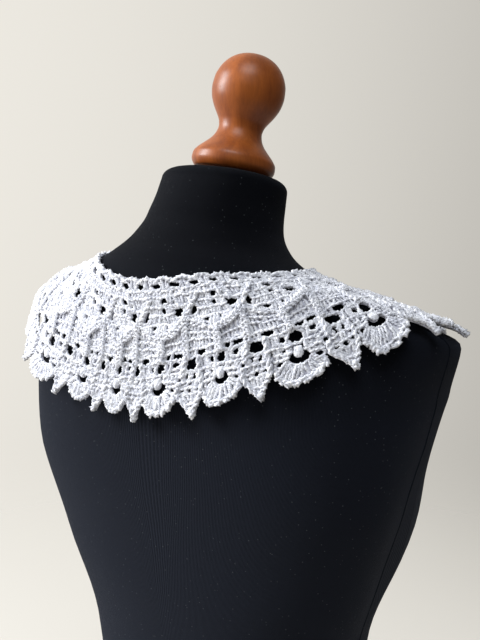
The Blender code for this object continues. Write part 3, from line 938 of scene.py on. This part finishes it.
ring = np.linspace(FIRST_EDGE, LAST_EDGE, 900)
parts += cord(ring, np.full(900, 0.090), 0.2, 0.66)
yarn_piece("yarn_neckband", parts, "collar_neckband")

# ---------------- upper tier
# Pointed leaves hang from the neckband between openings, and a raised shell of
# spreading stitches lies over the work below them. A thick cord edges each shell.

# Blocks of stitches, across in repeats from the leaf's own line (the fan's line is at
# 0.5) and down in shares of the depth, with two depths where a block slants:
# top_left, top_right, top_down, foot_left, foot_right, foot_down, stitches, rise_mm
LEAF_ROWS = (
    (-0.46, 0.46, 0.098, -0.46, 0.46, 0.124, 12, 0.0),
    (-0.29, 0.06, 0.136, -0.16, 0.03, 0.205, 5, 0.0),
    (0.19, 0.30, 0.136, 0.07, 0.16, 0.205, 2, 0.0),
    (-0.14, 0.14, 0.215, -0.03, 0.03, 0.280, 4, 0.2),
    (0.37, 0.49, 0.136, 0.30, 0.46, 0.188, 4, 0.0),
    (0.67, 0.70, 0.136, 0.68, 0.74, 0.188, 2, 0.0),
    (0.24, 0.46, 0.200, 0.24, 0.47, 0.246, 5, 0.0),
    (0.62, 0.72, 0.200, 0.62, 0.72, 0.246, 3, 0.0),
)
# Cords: rise_mm, thickness_mm, strands, then points across and down
LEAF_CORDS = (
    (0.1, 0.64, 1, (-0.5, 0.129), (0.5, 0.129)),
    (1.2, 0.76, 2, (-0.325, 0.130), (-0.14, 0.212), (-0.06, 0.262), (0.0, 0.302)),
    (1.2, 0.76, 2, (0.325, 0.130), (0.14, 0.212), (0.06, 0.262), (0.0, 0.302)),
    (0.3, 0.62, 1, (0.27, 0.193), (0.76, 0.193)),
    (0.4, 0.66, 1, (0.22, 0.252), (0.48, 0.250), (0.73, 0.252)),
    (0.2, 0.60, 1, (0.48, 0.193), (0.47, 0.250)),
    (0.2, 0.60, 1, (0.615, 0.193), (0.62, 0.250)),
    (0.2, 0.60, 1, (0.735, 0.193), (0.73, 0.252), (0.75, 0.292), (0.92, 0.292)),
)
charted_piece("yarn_upper_tier", LEAF_ROWS, LEAF_CORDS, [(0.10, 0.29)], "collar_upper_tier")

SHELL_ROWS = (
    (0.23, 0.70, 0.260, 0.16, 0.72, (0.308, 0.312), 11, 0.2),
    (0.06, 0.26, (0.320, 0.322), 0.07, 0.24, (0.345, 0.380), 5, 0.8),
    (0.42, 0.54, (0.322, 0.326), 0.38, 0.53, (0.398, 0.402), 4, 1.0),
    (0.63, 0.94, (0.326, 0.322), 0.60, 0.93, (0.398, 0.335), 8, 1.2),
    (0.27, 0.37, 0.352, 0.26, 0.37, (0.388, 0.396), 2, 0.8),
)
SHELL_CORDS = (
    (0.4, 0.62, 1, (0.13, 0.315), (0.40, 0.316), (0.74, 0.318)),
    (0.4, 0.60, 1, (0.24, 0.346), (0.40, 0.346)),
    (2.3, 0.76, 3, (0.48, 0.412), (0.62, 0.398), (0.80, 0.358), (0.97, 0.308)),
    (1.6, 0.72, 1, (0.02, 0.312), (0.14, 0.350), (0.29, 0.388), (0.47, 0.412)),
)
charted_piece("yarn_shells", SHELL_ROWS, SHELL_CORDS, [(0.29, 0.40)], "collar_upper_tier")

# ---------------- lower tier
# Close panels stand between raised upright ridges, one high and one sunken in each
# repeat, over a row of openings. Larger openings lie over each leaf and each fan.

PANEL_ROWS = (
    (-0.01, 0.40, (0.340, 0.415), -0.02, 0.41, (0.395, 0.438), 8, 0.3),
    (-0.02, 0.41, (0.402, 0.445), -0.02, 0.41, (0.450, 0.470), 8, 0.3),
    (-0.02, 0.41, (0.458, 0.476), -0.02, 0.41, 0.518, 8, 0.3),
    (0.55, 0.90, (0.418, 0.360), 0.55, 0.89, (0.462, 0.440), 6, -0.5),
    (0.55, 0.89, (0.470, 0.450), 0.55, 0.88, 0.518, 6, -0.5),
)
PANEL_CORDS = (
    (1.8, 0.74, 3, (-0.03, 0.305), (-0.075, 0.36), (-0.085, 0.46), (-0.085, 0.575)),
    (2.2, 0.76, 3, (0.47, 0.405), (0.485, 0.48), (0.49, 0.575)),
    (0.3, 0.66, 1, (-0.5, 0.524), (0.5, 0.524)),
)
charted_piece("yarn_panels", PANEL_ROWS, PANEL_CORDS, [], "collar_lower_tier")

OPENWORK_ROWS = (
    (-0.12, 0.88, 0.530, -0.12, 0.88, 0.568, 18, 0.0),
    (0.10, 0.45, 0.585, 0.11, 0.44, 0.665, 7, 0.0),
    (0.55, 0.90, 0.585, 0.56, 0.88, 0.665, 7, 0.1),
    (-0.12, 0.12, 0.585, -0.13, 0.13, 0.665, 4, 0.0),
    (-0.15, 0.15, 0.680, -0.15, 0.15, 0.694, 5, 0.0),
    (0.23, 0.40, 0.680, 0.24, 0.38, 0.712, 5, 0.0),
    (0.57, 0.77, 0.680, 0.58, 0.76, 0.712, 5, 0.0),
)
OPENWORK_CORDS = (
    (0.4, 0.68, 1, (-0.5, 0.576), (0.5, 0.576)),
    (0.4, 0.68, 1, (-0.5, 0.672), (0.5, 0.672)),
    (0.3, 0.64, 1, (0.26, 0.585), (0.25, 0.625), (0.26, 0.665)),
    (0.3, 0.64, 1, (0.66, 0.640), (0.82, 0.640)),
    (0.3, 0.64, 1, (0.28, 0.655), (0.42, 0.655)),
)
charted_piece("yarn_openwork", OPENWORK_ROWS, OPENWORK_CORDS, [(0.50, 0.65)],
              "collar_lower_tier")

# ---------------- leaf points
# Fifteen leaves, worked to a point with a small knot at the tip. A doubled cord runs
# down both sides, with pairs and threes of small openings between.

LEAF_POINT_ROWS = (
    (-0.16, -0.10, 0.700, -0.17, -0.10, 0.730, 2, 0.0),
    (-0.01, 0.01, 0.700, -0.01, 0.01, 0.730, 1, 0.0),
    (0.10, 0.16, 0.700, 0.10, 0.17, 0.730, 2, 0.0),
    (-0.15, 0.15, 0.742, -0.16, 0.16, 0.778, 6, 0.0),
    (-0.17, -0.14, 0.788, -0.17, -0.14, 0.815, 2, 0.0),
    (-0.05, -0.03, 0.788, -0.05, -0.03, 0.815, 1, 0.0),
    (0.08, 0.10, 0.788, 0.08, 0.10, 0.815, 1, 0.0),
    (-0.14, 0.14, 0.826, -0.07, 0.07, 0.890, 6, 0.0),
    (-0.05, 0.05, 0.898, -0.012, 0.012, 0.950, 3, 0.0),
)
LEAF_POINT_CORDS = (
    (1.2, 0.74, 2, (-0.115, 0.575), (-0.13, 0.66), (-0.175, 0.76),
     (-0.180, 0.825), (-0.09, 0.895), (-0.02, 0.960)),
    (1.2, 0.74, 2, (0.115, 0.575), (0.13, 0.66), (0.175, 0.76),
     (0.180, 0.825), (0.09, 0.895), (0.02, 0.960)),
    (0.2, 0.60, 1, (-0.17, 0.697), (0.17, 0.697)),
    (0.3, 0.62, 1, (-0.19, 0.735), (0.19, 0.735)),
    (0.3, 0.62, 1, (-0.20, 0.783), (0.20, 0.783)),
    (0.3, 0.62, 1, (-0.20, 0.820), (0.20, 0.820)),
    (0.3, 0.62, 1, (-0.08, 0.893), (0.08, 0.893)),
    (1.0, 1.35, 1, (-0.012, 0.950), (-0.028, 0.975), (0.0, 0.998),
     (0.028, 0.975), (0.012, 0.950)),
    (1.5, 1.40, 1, (0.0, 0.940), (0.004, 0.965), (0.0, 0.992)),
)
charted_piece("yarn_leaves", LEAF_POINT_ROWS, LEAF_POINT_CORDS,
              [(0.70, 0.73, 0.62), (0.795, 0.82, 0.62)],
              *[f"leaf_{i:02d}" for i in range(REPEATS)])

# ---------------- fans
# A round fan hangs between each two leaves: a raised bobble over a crescent opening,
# spreading stitches below it, and a rim of small loops.

# Curves of a fan: across, down, half width, drop
INNER = (0.50, 0.745, 0.160, 0.078)
OUTER = (0.495, 0.800, 0.268, 0.126)
FAN_STITCHES = 13
FAN_SPREAD = 70  # degrees that the stitches spread to either side
LOOP_SPREAD = 72  # degrees that the loops reach to either side
FAN_LOOPS = 7  # loops round the rim
LOOP_OUT = (0.038, 0.031)  # how far a loop stands out, in repeats and in shares of depth
LOOP_ALONG = np.array([0.06, 0.22, 0.5, 0.78, 0.94])
LOOP_BULGE = np.array([0.0, 0.8, 1.0, 0.8, 0.0])
# A bobble from top to foot: half width in repeats, and depth
BOBBLE_HALF = np.array([0.028, 0.040, 0.037, 0.014])
BOBBLE_DOWN = (0.694, 0.716, 0.744, 0.760)
BOBBLE_ACROSS = 0.485
BOBBLE_STRANDS = 5
BOBBLE_LOW = 0.0013  # strands over the inner face at the bobble's ends
BOBBLE_HIGH = 0.0015  # and how much higher at its middle
BOBBLE_PLY = 0.00078


def curve_point(curve, turn_deg):
    across, down, half, drop = curve
    turn = np.radians(turn_deg)
    return across + half * np.sin(turn), down + drop * np.cos(turn)


def fan_lines(fan, count):
    """Lines that spread over a fan: column and depth at the inner and outer curves."""
    for turn in np.linspace(-FAN_SPREAD, FAN_SPREAD, count):
        x0, y0 = curve_point(INNER, turn)
        x1, y1 = curve_point(OUTER, turn)
        yield fan - x0, y0, fan - x1, y1


FAN_ROWS = (
    (0.24, 0.39, 0.722, 0.24, 0.35, 0.752, 3, 0.0),
    (0.59, 0.76, 0.722, 0.65, 0.76, 0.752, 3, 0.0),
)
FAN_CORDS = (
    (0.3, 0.62, 1, (0.22, 0.718), (0.41, 0.718)),
    (0.3, 0.62, 1, (0.58, 0.718), (0.78, 0.718)),
    (0.3, 0.62, 1, (0.22, 0.757), (0.36, 0.757)),
    (0.3, 0.62, 1, (0.65, 0.757), (0.77, 0.757)),
    (0.5, 0.66, 1, (0.41, 0.690), (0.385, 0.73), (0.345, 0.765)),
    (0.5, 0.66, 1, (0.58, 0.690), (0.61, 0.73), (0.655, 0.765)),
)
parts = blocks_of_stitches(FAN_ROWS) + cords_of(FAN_CORDS)
ends = []
for fan in range(REPEATS):
    for c0, v0, c1, v1 in fan_lines(fan, FAN_STITCHES):
        ends.append((c0, v0 + 0.006, c1, v1 - 0.008, 0.2))
    for c0, v0, c1, v1 in fan_lines(fan, 45):
        cover(*spread_out([c0, c1], [v0, v1], 0.005))
    x, y = curve_point(OUTER, np.linspace(-88, 88, 25))
    parts += cord(fan - x, y, 0.4, 0.70)
    x, y = curve_point(INNER, np.linspace(-80, 80, 19))
    parts += cord(fan - x, y, 0.3, 0.62)
    for i in range(FAN_LOOPS):
        turn = -LOOP_SPREAD + 2 * LOOP_SPREAD * (i + LOOP_ALONG) / FAN_LOOPS
        x, y = curve_point(OUTER, turn)
        x = x + LOOP_OUT[0] * LOOP_BULGE * np.sin(np.radians(turn))
        y = y + LOOP_OUT[1] * LOOP_BULGE * np.cos(np.radians(turn))
        x, y = spread_out(x, y, 0.006)
        parts += cord(fan - x, y, 0.6, 1.15, 1, True)
    for s in np.linspace(-1, 1, BOBBLE_STRANDS):
        t = np.linspace(0, 3, 8)
        x = smooth(range(4), BOBBLE_ACROSS + BOBBLE_HALF * s, t)
        y = smooth(range(4), BOBBLE_DOWN, t)
        high = BOBBLE_HIGH * np.sin(np.pi * (0.12 + 0.76 * t / 3)) * (1 - 0.35 * s * s)
        centre, out = on_lace((fan - x)[None], y[None], (BOBBLE_LOW + high)[None])
        knots = BOBBLE_PLY * rng.uniform(0.8, 1.25, (1, len(t)))
        parts += two_ply(centre, out, knots, PLY_APART, t[None] * 0.9 + rng.uniform())
        cover(fan - x, y)
parts += stitches(ends)
parts += rims(0.78, 0.795, 0.62)
yarn_piece("yarn_fans", parts, *[f"fan_{i:02d}" for i in range(REPEATS)])

# ---------------- lace ground
# The flat body of the work, under the stitches, with its real openings. It is the
# whole collar's cloth: one curved band, given its shape by its stitches alone.

DOWN = 66  # cells of the ground from neck to hem
ACROSS = 34  # cells of the ground across one repeat
HOLD = 0.0010  # the ground reaches this far from the middle of a stitch
CLEAR_OF_OPENING = 1.35  # and keeps this share of an opening's size away from it
GROUND_LOW = 0.0005  # middle of the ground over the inner face
GROUND_THICK = 0.0008
FAR = 0.01  # where no stitch is near
# The ground is the same white cotton as the stitches, painted darker and greyer as painted
# shade in the gaps between them.
GROUND_COTTON_PAINTED_SHADE = cotton_material("white_cotton_ground_painted_shade", (0.74, 0.74, 0.82), (0.44, 0.44, 0.51), 0.95)
ground_c = np.linspace(FIRST_EDGE, LAST_EDGE, ACROSS * REPEATS + 1)
ground_v = np.linspace(0, 1.0, DOWN + 1)
grid_c, grid_v = np.meshgrid(ground_c, ground_v, indexing="ij")
wide = read_net(NET_WIDE, grid_c, grid_v)
deep = read_net(NET_DEEP, grid_c, grid_v)
# Between the neckband and the leaf points the ground is whole but for its openings.
filled = np.meshgrid(np.arange(FIRST_EDGE, LAST_EDGE, 0.02), np.arange(0.095, 0.675, 0.008))
cover(filled[0].ravel(), filled[1].ravel())
places = np.concatenate(worked)
places = places[opening_at(places[:, 0], places[:, 1]) > CLEAR_OF_OPENING]
places = places[(places[:, 0] > FIRST_EDGE) & (places[:, 0] < LAST_EDGE)]
near_i = np.rint((places[:, 0] - FIRST_EDGE) * ACROSS).astype(int)
near_j = np.rint(places[:, 1] * DOWN).astype(int)
reach = np.full(grid_c.shape, FAR)
for di in range(-2, 3):
    for dj in range(-2, 3):
        i = near_i + di
        j = near_j + dj
        ok = (i >= 0) & (i < grid_c.shape[0]) & (j >= 0) & (j < grid_c.shape[1])
        i = i[ok]
        j = j[ok]
        aside = (ground_c[i] - places[ok, 0]) * wide[i, j]
        below = (ground_v[j] - places[ok, 1]) * deep[i, j]
        np.minimum.at(reach, (i, j), np.hypot(aside, below))


def contour_faces(f):
    """Faces of the grid where f is above zero, cut along the line where it is zero.
    Gives points in cells of the grid, and lists of faces."""
    n, m = f.shape
    gi, gj = np.meshgrid(np.arange(n), np.arange(m), indexing="ij")
    ti = np.clip(f[:-1] / (f[:-1] - f[1:] + 1e-12), 0.02, 0.98)
    tj = np.clip(f[:, :-1] / (f[:, :-1] - f[:, 1:] + 1e-12), 0.02, 0.98)
    corner = np.stack([gi, gj], -1).reshape(-1, 2).astype(float)
    along_i = np.stack([gi[:-1] + ti, gj[:-1]], -1).reshape(-1, 2)
    along_j = np.stack([gi[:, :-1], gj[:, :-1] + tj], -1).reshape(-1, 2)
    points = np.concatenate([corner, along_i, along_j])
    id_c = np.arange(n * m).reshape(n, m)
    id_i = n * m + np.arange((n - 1) * m).reshape(n - 1, m)
    id_j = n * m + (n - 1) * m + np.arange(n * (m - 1)).reshape(n, m - 1)
    local = np.stack([id_c[:-1, :-1], id_i[:, :-1], id_c[1:, :-1], id_j[1:],
                      id_c[1:, 1:], id_i[:, 1:], id_c[:-1, 1:], id_j[:-1]], -1).reshape(-1, 8)
    inside = f > 0
    code = (inside[:-1, :-1] * 1 + inside[1:, :-1] * 2 + inside[1:, 1:] * 4
            + inside[:-1, 1:] * 8).reshape(-1)
    faces = {}
    for case in range(1, 16):
        ring = []
        for corner_no in range(4):
            here = bool(case & (1 << corner_no))
            after = bool(case & (1 << ((corner_no + 1) % 4)))
            if here:
                ring.append(2 * corner_no)
            if here != after:
                ring.append(2 * corner_no + 1)
        cells = local[code == case]
        if len(cells):
            faces.setdefault(len(ring), []).append(cells[:, ring])
    return points, [np.concatenate(group) for group in faces.values()]


cut_points, cut_faces = contour_faces(HOLD - reach)
used = np.unique(np.concatenate([f.reshape(-1) for f in cut_faces]))
renumber = np.full(len(cut_points), -1)
renumber[used] = np.arange(len(used))
cut_c = FIRST_EDGE + cut_points[used, 0] / ACROSS
cut_v = cut_points[used, 1] / DOWN
ground_xyz, _ = on_lace(cut_c, cut_v, np.full(len(cut_c), GROUND_LOW))
ground = mesh_piece("lace_ground", ground_xyz, [renumber[f] for f in cut_faces], GROUND_COTTON_PAINTED_SHADE)
thicken = ground.modifiers.new("thickness", "SOLIDIFY")
thicken.thickness = GROUND_THICK
thicken.offset = 0.0
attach(ground, "root")

# ---------------- floor, light, camera
# A plain pale floor, soft light from a window on the left, a little from above, and
# a pale surround. The floor fades into the surround, so that no far edge shows.

bpy.ops.mesh.primitive_plane_add(size=12, location=(0, 0, 0))
floor = bpy.context.object
floor.name = "floor"
pale, tree, shader = new_material("pale_floor", 0.8)
floor.data.materials.append(pale)
away = node(tree, "VectorMath", {0: node(tree, "TexCoord", {}, "Object")}, "Value",
            operation="LENGTH")
fade = node(tree, "MapRange", {"Value": away, "From Min": 0.35, "From Max": 1.6,
            "To Min": 0.0, "To Max": 1.0}, interpolation_type="SMOOTHSTEP")
set_inputs(tree, shader, {"Base Color": (0.70, 0.67, 0.62, 1)})
faded = node(tree, "MixShader", {0: fade, 1: shader.outputs[0],
             2: node(tree, "BsdfTransparent", {})})
set_inputs(tree, tree.nodes["Material Output"], {"Surface": faded})

world = bpy.data.worlds.new("surround")
bpy.context.scene.world = world
world.use_nodes = True
tree = world.node_tree
# The surround is brightest on the window's side and behind the form.
way = node(tree, "TexCoord", {}, "Generated")
facing = node(tree, "VectorMath", {0: way, 1: (0.994, -0.047, 0.10)}, "Value",
              operation="DOT_PRODUCT")
bright = node(tree, "MapRange", {"Value": facing, "From Min": -0.55, "From Max": 1.05,
              "To Min": 0.10, "To Max": 0.90}, interpolation_type="SMOOTHSTEP")
set_inputs(tree, tree.nodes["Background"], {"Color": (1.0, 0.965, 0.890, 1),
           "Strength": bright})
bpy.context.scene.view_settings.view_transform = "Standard"

LOOK = (0.5492, -0.8201, -0.1605)  # direction the camera looks in
EYE = (-0.3587, 0.5407, 0.7411)
camera_data = bpy.data.cameras.new("camera")
camera = bpy.data.objects.new("camera", camera_data)
bpy.context.collection.objects.link(camera)
camera_data.sensor_width = 36.0
camera_data.lens = 47.2556
camera_data.shift_x = 0.0234
camera_data.shift_y = -0.0469
camera_data.clip_start = 0.02


def aim(ob, place, way):
    """Puts a camera or lamp at a place, facing one way."""
    ob.location = place
    ob.rotation_mode = "QUATERNION"
    ob.rotation_quaternion = Vector(way).to_track_quat("-Z", "Y")


aim(camera, EYE, LOOK)
bpy.context.scene.camera = camera
LIT = Vector((0.0, 0.0, 0.6))  # the point that both lights face


def soft_light(name, place, size, power, colour):
    data = bpy.data.lights.new(name, "AREA")
    data.shape = "RECTANGLE"
    data.size, data.size_y = size
    data.energy = power
    data.color = colour
    lamp = bpy.data.objects.new(name, data)
    bpy.context.collection.objects.link(lamp)
    aim(lamp, place, LIT - Vector(place))


soft_light("window", (3.5, 1.9, 2.3), (1.5, 2.2), 272.0, (0.95, 0.975, 1.0))
soft_light("overhead", (-0.5, 0.9, 2.6), (1.2, 1.2), 28.0, (0.88, 0.94, 1.0))
